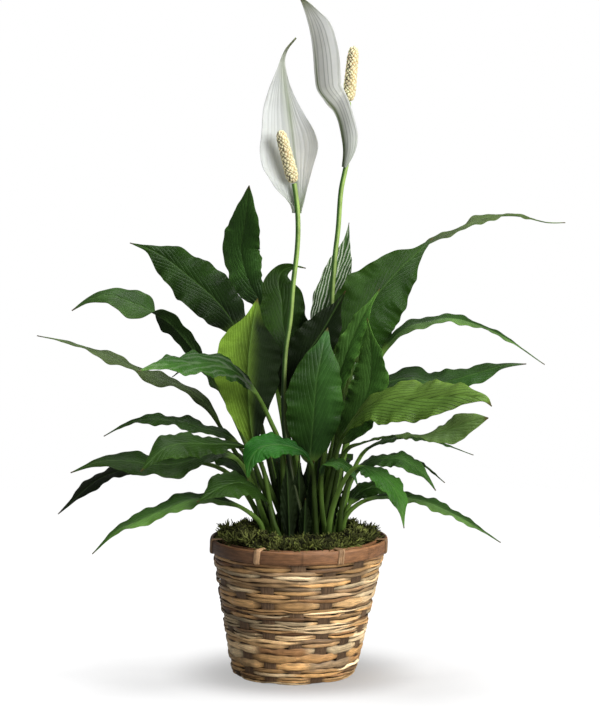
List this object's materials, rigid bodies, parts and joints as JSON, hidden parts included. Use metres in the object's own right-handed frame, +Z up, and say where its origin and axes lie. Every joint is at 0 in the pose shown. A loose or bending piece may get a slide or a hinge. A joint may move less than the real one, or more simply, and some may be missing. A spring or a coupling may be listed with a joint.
{
  "type": "potted peace lily",
  "caption": "Peace lily with arching pointed leaves and white hooded blooms, standing in a woven basket with a bamboo rim and moss over its pot.",
  "frame": {"origin": "middle of the basket floor's flat underside", "axes": "+Z up along the stalks, +X to the right and -Y towards the viewer of the picture"},
  "size_m": [0.5254, 0.3474, 0.6423],
  "materials": {
    "leaf": "living leaf, satin and waxy with raised veins",
    "young_leaf": "young living leaf, bright green, satin",
    "shaded_leaf": "older living leaf, very dark green, satin",
    "stalk": "smooth light green flower stalk",
    "spathe": "thin white spathe with green veins, soft satin",
    "spadix": "cream florets packed close, matt",
    "weave": "split bamboo strips, tan to brown, woven",
    "bamboo": "reddish-brown bamboo hoop, satin",
    "tie": "pale split cane",
    "pot": "thin black nursery pot",
    "soil": "dark potting mix of bark and peat",
    "moss": "dried sphagnum and green moss tufts"
  },
  "bodies": {
    "root": {"basket_wall": "weave", "basket_floor": "weave", "rim_hoop_outer": "bamboo", "rim_hoop_inner": "bamboo", "rim_tie_1": "tie", "rim_tie_2": "tie", "rim_tie_3": "tie", "rim_tie_4": "tie", "rim_tie_5": "tie", "rim_tie_6": "tie", "rim_tie_7": "tie", "grow_pot": "pot", "soil": "soil", "moss": "moss", "leaf_upright_left": "shaded_leaf", "leaf_high_left": "leaf", "leaf_back_hook": "leaf", "leaf_striped": "leaf", "leaf_dark_diagonal": "shaded_leaf", "leaf_high_right": "leaf", "leaf_far_right": "leaf", "leaf_lime": "young_leaf", "leaf_front_tall": "leaf", "leaf_upright_right": "shaded_leaf", "leaf_bright_right": "young_leaf", "leaf_back_tip": "leaf", "leaf_twisted_left": "leaf", "leaf_long_left": "leaf", "leaf_bright_left": "young_leaf", "leaf_arch_right": "leaf", "leaf_wavy_right": "leaf", "leaf_front_right": "leaf", "leaf_scoop_right": "leaf", "leaf_back_middle": "leaf", "leaf_back_right": "leaf", "leaf_back_left": "leaf", "leaf_narrow_left": "shaded_leaf", "leaf_fold_left": "leaf", "leaf_olive_left": "leaf", "leaf_dark_left": "shaded_leaf", "leaf_lowest_left": "leaf", "leaf_front_low_left": "shaded_leaf", "leaf_front_drop_left": "young_leaf", "leaf_front_drop_right": "leaf", "leaf_drop_right": "young_leaf", "leaf_strand_right": "leaf", "leaf_low_right": "leaf", "leaf_low_back_right": "leaf", "leaf_low_dark_right": "shaded_leaf", "leaf_lowest_right": "leaf", "leaf_back_low_right": "leaf", "leaf_back_low_middle": "leaf", "leaf_back_low_left": "leaf", "flower_front_stalk": "stalk", "flower_front_spathe": "spathe", "flower_front_spadix": "spadix", "flower_back_stalk": "stalk", "flower_back_spathe": "spathe", "flower_back_spadix": "spadix"}
  },
  "joints": []
}
